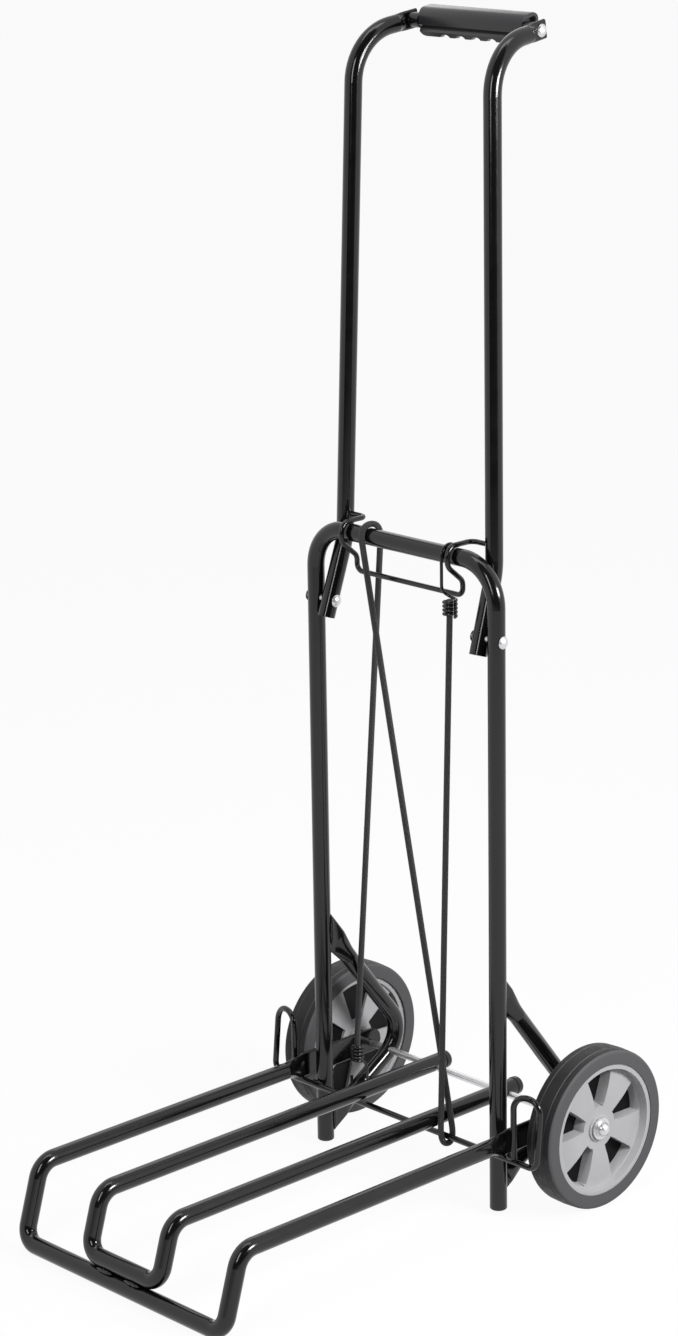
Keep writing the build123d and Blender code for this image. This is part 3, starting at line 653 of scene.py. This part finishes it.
class TROLLEY_OT_cord(bpy.types.Operator):
    """Run the elastic cord between its two hooks"""

    bl_idname = "trolley.cord"
    bl_label = "Elastic cord"

    def execute(self, context):
        sizes = context.scene.trolley_sizes
        colours = context.scene.trolley_colours
        crossbar_slack, rod_slack = 0.7 * MM, 1.1 * MM
        wrap = TUBE_D / 2 + sizes.cord_d / 2 + crossbar_slack
        loop = GUARD_D / 2 + sizes.cord_d / 2 + rod_slack
        near = 6 * sizes.cord_d
        lower_x, lower_y = -93 * MM, LEG_Y + 31 * MM
        lower_end = Vector((lower_x, lower_y, 67.825 * MM))
        lower_coil = Vector((lower_x, lower_y, 83.6 * MM))
        over_rear = Vector((-35 * MM, LEG_Y + wrap, CROSSBAR_Z + wrap))
        over_front = Vector((-38.5 * MM, LEG_Y - wrap, CROSSBAR_Z + wrap))
        under_rear = Vector((54.6 * MM, ROD_Y + loop, ROD_Z - loop))
        under_front = Vector((51 * MM, ROD_Y - loop, ROD_Z - loop))
        upper_end = Vector((60 * MM, LEG_Y - 9.7 * MM, CROSSBAR_Z - 31.825 * MM))
        route = [
            lower_end,
            lower_coil,
            self.part_way(lower_coil, over_rear, near),
            self.part_way(over_rear, lower_coil, near),
            over_rear,
            over_front,
            self.part_way(over_front, under_rear, near),
            self.part_way(under_rear, over_front, near),
            under_rear,
            under_front,
            self.part_way(under_front, upper_end, near),
            upper_end,
        ]
        curve = bpy.data.curves.new("elastic_cord", "CURVE")
        curve.dimensions = "3D"
        spline = curve.splines.new("NURBS")
        spline.points.add(len(route) - 1)
        for point, place in zip(spline.points, route):
            point.co = (*place, 1)
        spline.order_u = 3
        spline.use_endpoint_u = True
        spline.resolution_u = 24
        curve.bevel_depth = sizes.cord_d / 2
        curve.bevel_resolution = 5
        curve.use_fill_caps = True
        cord = bpy.data.objects.new("elastic_cord", curve)
        context.scene.collection.objects.link(cord)
        material = braided_polyester(colours, sizes.cord_length, sizes.cord_d)
        dress(cord, "frame", "elastic_cord", material, "bungee_cord")
        return {"FINISHED"}

    def part_way(self, start, end, reach):
        """A point on a straight stretch, a set reach from its start."""
        return start + (end - start).normalized() * reach


class TROLLEY_OT_wheels(bpy.types.Operator):
    """Turn the tyres and the spoked hubs"""

    bl_idname = "trolley.wheels"
    bl_label = "Wheels"

    tyre_steps = 128
    hub_steps = 120
    pocket_steps = 16
    pocket_corner = 1.5 * MM

    def execute(self, context):
        sizes = context.scene.trolley_sizes
        colours = context.scene.trolley_colours
        rubber = tyre_rubber(colours)
        plastic = hub_polypropylene(colours)
        tyre = self.make_tyre(sizes, rubber, tread_painted_shade(colours))
        hub = self.make_hub(sizes, plastic, pocket_shade_black(colours))
        wheels = {
            "right": (tyre, hub),
            "left": (mirrored(tyre, "left_rubber_tyre"), mirrored(hub, "left_moulded_hub")),
        }
        for side, (side_tyre, side_hub) in wheels.items():
            dress(side_tyre, f"{side}_wheel", "tyre_rubber", rubber, f"{side}_tyre")
            dress(side_hub, f"{side}_wheel", "hub_plastic", plastic, f"{side}_hub")
        return {"FINISHED"}

    def make_tyre(self, sizes, walls, tread):
        """A solid tyre with a slightly crowned tread and a moulded line beside each shoulder."""
        low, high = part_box("right_tyre")
        tread_r = (high[2] - low[2]) / 2
        seat_r = extent("right_hub").z / 2
        crown = 0.6 * MM
        groove = sizes.tyre_groove
        groove_x = 7 * MM
        x0, x1 = low[0], high[0]
        profile = [
            (x0, seat_r), (x0, tread_r - crown),
            (x0 + groove_x - groove, tread_r - crown / 2), (x0 + groove_x, tread_r - crown / 2 - groove),
            (x0 + groove_x + groove, tread_r - crown / 3), ((x0 + x1) / 2, tread_r),
            (x1 - groove_x - groove, tread_r - crown / 3), (x1 - groove_x, tread_r - crown / 2 - groove),
            (x1 - groove_x + groove, tread_r - crown / 2),
            (x1, tread_r - crown), (x1, seat_r),
        ]
        shoulders = {1: sizes.tyre_shoulder, 9: sizes.tyre_shoulder}
        tyre = spun("right_rubber_tyre", profile, shoulders, self.tyre_steps)
        smooth(tyre, 40)
        tyre.data.materials.append(walls)
        tyre.data.materials.append(tread)
        # The tread faces get the darker rubber: painted shade.
        self.paint_faces(
            tyre, 1,
            lambda face: abs(face.normal.x) < 0.5 and self.radius(face.center) > seat_r + MM)
        return tyre

    def make_hub(self, sizes, plastic, dark):
        """A moulded hub: boss, bulged spokes with deep pockets between them, and a proud rim ring."""
        low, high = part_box("right_hub")
        inner, outer = low[0], high[0]
        rim_r = (high[2] - low[2]) / 2
        ring_r = rim_r - 3.9 * MM
        boss_r = 11 * MM
        ring_back = outer - 22.5 * MM
        boss_face = outer - 5.7 * MM
        face = outer - 7.2 * MM
        back = face - 13 * MM
        bulge = 1.6 * MM
        arc_steps = 8
        web = [
            (face + bulge * math.sin(math.pi * step / arc_steps),
             boss_r + (ring_r - boss_r) * step / arc_steps)
            for step in range(arc_steps + 1)
        ]
        profile = [
            (inner, ROD_BORE_R), (boss_face, ROD_BORE_R), (boss_face, boss_r), *web,
            (outer, ring_r), (outer, rim_r), (ring_back, rim_r), (ring_back, ring_r),
            (back, ring_r), (back, boss_r), (inner, boss_r),
        ]
        hub = spun("right_moulded_hub", profile, {}, self.hub_steps)
        floor_out = back + 4 * MM
        floor_in = back + 2.5 * MM
        drawn_in, straight = 0.86, 1.0
        pockets = [
            self.pocket_tool(sizes, floor_out, outer + MM, ring_r, drawn_in),
            self.pocket_tool(sizes, floor_in, back - MM, ring_r, straight),
        ]
        for pocket in pockets:
            for count in range(sizes.hub_windows):
                tool = copied(pocket, f"pocket_{count}")
                carve(hub, turned(tool, count * math.tau / sizes.hub_windows))
            bpy.data.objects.remove(pocket)
        # Only about 0.001 mm of this rounding comes out, so the hub's edges are sharp.
        apply_modifier(
            hub, "BEVEL", width=sizes.hub_edge, segments=3,
            limit_method="ANGLE", angle_limit=math.radians(40))
        smooth(hub, 35)
        hub.data.materials.append(plastic)
        hub.data.materials.append(dark)
        # The pocket floors get the near-black finish: painted shade deep in the pockets.
        near = 0.2 * MM
        floors = (floor_out, floor_in)
        self.paint_faces(
            hub, 1,
            lambda face: any(abs(face.center.x - x) < near for x in floors) and abs(face.normal.x) > 0.9)
        return hub

    def radius(self, place):
        """Distance of a point from the axle."""
        return math.hypot(place.y - AXLE.y, place.z - AXLE.z)

    def paint_faces(self, piece, slot_index, wanted):
        """Give the faces that satisfy a test another of the piece's finishes."""
        select_faces(piece, wanted)
        piece.active_material_index = slot_index
        bpy.ops.object.material_slot_assign()
        bpy.ops.object.mode_set(mode="OBJECT")

    def pocket_tool(self, sizes, floor_x, mouth_x, ring_r, floor_share):
        """A sector between the boss and the rim with rounded corners, drawn in towards its floor."""
        window_out_r = ring_r - 0.1 * MM
        profile = [
            (floor_x, sizes.window_in_r), (mouth_x, sizes.window_in_r),
            (mouth_x, window_out_r), (floor_x, window_out_r),
        ]
        tool = spun("pocket", profile, {}, self.pocket_steps, sizes.window_angle)
        centre = sum((vertex.co for vertex in tool.data.vertices), Vector()) / len(tool.data.vertices)
        turned(tool, math.atan2(centre.y - AXLE.y, centre.z - AXLE.z))
        side_angle = sizes.window_angle / 2 * 0.99
        select_edges(
            tool, lambda a, b: abs(a.x - b.x) > MM
            and abs(math.atan2(a.y - AXLE.y, a.z - AXLE.z)) > side_angle)
        bpy.ops.mesh.bevel(offset=self.pocket_corner, segments=4)
        bpy.ops.mesh.select_mode(type="VERT")
        bpy.ops.object.mode_set(mode="OBJECT")
        for vertex in tool.data.vertices:
            vertex.select = abs(vertex.co.x - floor_x) < 0.01 * MM
        bpy.ops.object.mode_set(mode="EDIT")
        middle_r = (sizes.window_in_r + ring_r) / 2
        bpy.ops.transform.resize(
            value=(1, floor_share, floor_share), center_override=(floor_x, AXLE.y, AXLE.z + middle_r))
        bpy.ops.object.mode_set(mode="OBJECT")
        return tool


class TROLLEY_OT_grip(bpy.types.Operator):
    """Mould the trough-shaped grip"""

    bl_idname = "trolley.grip"
    bl_label = "Grip"

    edge_round = 0.8 * MM
    bar_sides = 64

    def execute(self, context):
        sizes = context.scene.trolley_sizes
        low, high = (Vector(corner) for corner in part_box("grip"))
        grip = self.make_body(low, high, sizes)
        carve(grip, self.make_outline(low, high, sizes), "INTERSECT")
        # A web near each end carries the rod; the bays between the webs are hollow.
        web_start, web_end = 6 * MM, 10 * MM
        bays = [
            (low.x - MM, low.x + web_start), (low.x + web_end, high.x - web_end),
            (high.x - web_start, high.x + MM)]
        for start_x, end_x in bays:
            carve(grip, self.make_hollow(low, high, sizes, start_x, end_x))
        rod = middle("grip_rod")
        for count in range(sizes.scallops):
            x = (count - (sizes.scallops - 1) / 2) * sizes.scallop_pitch
            place = Vector((x, (low.y + high.y) / 2, low.z - sizes.scallop_r + sizes.scallop_depth))
            carve(grip, self.make_bar(sizes.scallop_r, place, 2 * (high.y - low.y), (math.pi / 2, 0, 0)))
        carve(grip, self.make_bar(ROD_BORE_R, rod, 2 * (high.x - low.x), (0, math.pi / 2, 0)))
        # Only 0.01 to 0.02 mm of this rounding comes out, and how much changes from run to run.
        apply_modifier(
            grip, "BEVEL", width=self.edge_round, segments=3,
            limit_method="ANGLE", angle_limit=math.radians(35))
        smooth(grip, 35)
        colours = context.scene.trolley_colours
        dress(grip, "handle", "grip_plastic", grip_vinyl(colours), "grip")
        return {"FINISHED"}

    def make_body(self, low, high, sizes):
        """The grip's section: a rounded sloping crown, plain sides, and a flared lip below a crease."""
        flare = sizes.grip_flare
        crease_z = low.z + sizes.grip_lip
        front = [
            (low.y, low.z), (low.y, crease_z - 2 * flare), (low.y + flare * 2.2, crease_z),
            (low.y + flare, crease_z + flare), (low.y + flare * 1.4, high.z),
        ]
        rear = [(low.y + high.y - y, z) for y, z in reversed(front)]
        front[-1] = (front[-1][0], high.z - sizes.grip_slope)
        corners = [Vector((low.x, y, z)) for y, z in front + rear]
        crown = {4: sizes.grip_crown, 5: sizes.grip_crown}
        return prism("moulded_grip", corners, crown, (high.x - low.x, 0, 0))

    def make_outline(self, low, high, sizes):
        """The grip seen from the front: large round corners below, small ones above."""
        margin = 2 * MM
        front_y = low.y - margin
        corners = [Vector((x, front_y, z)) for x, z in (
            (low.x, low.z), (low.x, high.z), (high.x, high.z), (high.x, low.z))]
        small = sizes.grip_corner / 3
        rounds = {0: sizes.grip_corner, 1: small, 2: small, 3: sizes.grip_corner}
        return prism("grip_outline", corners, rounds, (0, high.y - low.y + 2 * margin, 0))

    def make_hollow(self, low, high, sizes, start_x, end_x):
        """One bay of the trough's inside, open below."""
        wall = sizes.grip_wall + sizes.grip_flare
        roof_z = high.z - sizes.grip_wall
        corners = [Vector((start_x, y, z)) for y, z in (
            (low.y + wall, low.z - MM), (low.y + wall, roof_z - sizes.grip_slope),
            (high.y - wall, roof_z), (high.y - wall, low.z - MM))]
        rounds = {1: sizes.grip_crown / 2, 2: sizes.grip_crown / 2}
        return prism("grip_hollow", corners, rounds, (end_x - start_x, 0, 0))

    def make_bar(self, radius, place, length, turn):
        """A round bar to cut with."""
        bar = start_piece(
            "round_bar", bpy.ops.mesh.primitive_cylinder_add, radius=radius, depth=length,
            vertices=self.bar_sides, location=place, rotation=turn)
        settle(bar)
        return bar


class TROLLEY_OT_welds(bpy.types.Operator):
    """Lay the weld beads that join the tubes and the rod"""

    bl_idname = "trolley.welds"
    bl_label = "Weld beads"

    # Half sizes of the beads along X, Y and Z, in millimetres.
    rod_bead = (6.5, 1.6, 1.7)
    bracket_bead = (1.9, 1.9, 13)
    guard_bead = (4.2, 3.4, 3.2)
    front_bead = (9, 1.9, 1.7)
    bracket_x = 94 * MM
    guard_x = 123.4 * MM
    front_x = 16 * MM
    ripple_size = 2.2 * MM
    ripple_height = 0.9 * MM

    def execute(self, context):
        material = bpy.data.materials["stoving_enamel"]
        rod_y, rod_rise = ROD_Y + 1.2 * MM, 2.2 * MM
        seam_y, seam_end = LEG_Y + TUBE_D / 2 - 2 * MM, 14 * MM
        guard_z = ROD_Z + 3.4 * MM
        for side_name, side in (("left", -1), ("right", 1)):
            low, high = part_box(f"wheel_bracket_{side_name}")
            beads = {
                "rod": ((side * LEG_X, rod_y, ROD_Z + rod_rise), self.rod_bead),
                "rod_under": ((side * LEG_X, rod_y, ROD_Z - rod_rise), self.rod_bead),
                "bracket_top": ((side * self.bracket_x, seam_y, high[2] - seam_end), self.bracket_bead),
                "bracket_low": ((side * self.bracket_x, seam_y, low[2] + seam_end), self.bracket_bead),
                "guard": ((side * self.guard_x, ROD_Y, guard_z), self.guard_bead),
            }
            for bead_name, (place, radii) in beads.items():
                bead = self.lay_bead(f"weld_{side_name}_{bead_name}", place, radii)
                dress(bead, "frame", "black_enamel", material)
        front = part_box("platform_inner_tube")
        front_y = front[0][1] + TUBE_D / 2 - 6.2 * MM
        front_z = front[0][2] + TUBE_D / 2 - 5.6 * MM
        for side_name, side in (("left", -1), ("right", 1)):
            place = (side * self.front_x, front_y, front_z)
            bead = self.lay_bead(f"weld_front_{side_name}", place, self.front_bead)
            dress(bead, "platform", "black_enamel", material)
        return {"FINISHED"}

    def lay_bead(self, name, place, radii_mm):
        """A long drop of metal with the ripples of a hand weld."""
        bead = start_piece(
            name, bpy.ops.mesh.primitive_ico_sphere_add, subdivisions=4, radius=1, location=place)
        bead.scale = [radius * MM for radius in radii_mm]
        settle(bead)
        ripple = bpy.data.textures.new(name, "CLOUDS")
        ripple.noise_scale = self.ripple_size
        apply_modifier(
            bead, "DISPLACE", texture=ripple, strength=self.ripple_height, mid_level=0.55,
            texture_coords="GLOBAL")
        smooth(bead, 80)
        return bead


class TROLLEY_OT_finishes(bpy.types.Operator):
    """Give the frame's own nodes their finishes"""

    bl_idname = "trolley.finishes"
    bl_label = "Finishes"

    def execute(self, context):
        colours = context.scene.trolley_colours
        enamel = stoving_enamel(colours)
        finishes = {
            zinc_plate(colours): ["axle", "axle_washers", "axle_caps", "handle_rivets", "grip_rod"],
            plug_polyethylene(colours): ["foot_plugs", "tail_caps", "wheel_spacers", "grip_spacers"],
            enamel: [
                "lower_frame", "wheel_bracket_left", "wheel_bracket_right", "guard_rod",
                "platform_outer_tube", "platform_inner_tube", "handle_tube_left", "handle_tube_right",
                "latch_bail", "bungee_hook_upper", "bungee_hook_lower"],
        }
        for material, nodes in finishes.items():
            for node in nodes:
                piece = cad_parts[node]
                piece.data.materials.clear()
                piece.data.materials.append(material)
        return {"FINISHED"}


class TROLLEY_PT_panel(bpy.types.Panel):
    """Lists the steps that dress the trolley"""

    bl_idname = "TROLLEY_PT_panel"
    bl_label = "Luggage trolley"
    bl_space_type = "VIEW_3D"
    bl_region_type = "UI"
    bl_category = "Trolley"

    def draw(self, context):
        for group in (context.scene.trolley_sizes, context.scene.trolley_colours):
            for name in group.bl_rna.properties.keys():
                if name not in ("rna_type", "name"):
                    self.layout.prop(group, name)
        for step in STEPS:
            self.layout.operator(step.bl_idname)


STEPS = (
    TROLLEY_OT_stage,
    TROLLEY_OT_cord,
    TROLLEY_OT_finishes,
    TROLLEY_OT_wheels,
    TROLLEY_OT_grip,
    TROLLEY_OT_welds,
)
CLASSES = (TrolleySizes, TrolleyColours, *STEPS, TROLLEY_PT_panel)


def register():
    for cls in CLASSES:
        bpy.utils.register_class(cls)
    bpy.types.Scene.trolley_sizes = PointerProperty(type=TrolleySizes)
    bpy.types.Scene.trolley_colours = PointerProperty(type=TrolleyColours)


def unregister():
    del bpy.types.Scene.trolley_colours
    del bpy.types.Scene.trolley_sizes
    for cls in reversed(CLASSES):
        bpy.utils.unregister_class(cls)


def main():
    """Build the whole dressed trolley."""
    register()
    bpy.ops.trolley.stage()
    bpy.ops.trolley.cord()
    bpy.ops.trolley.finishes()
    bpy.ops.trolley.wheels()
    bpy.ops.trolley.grip()
    bpy.ops.trolley.welds()


if __name__ == "__main__":
    main()
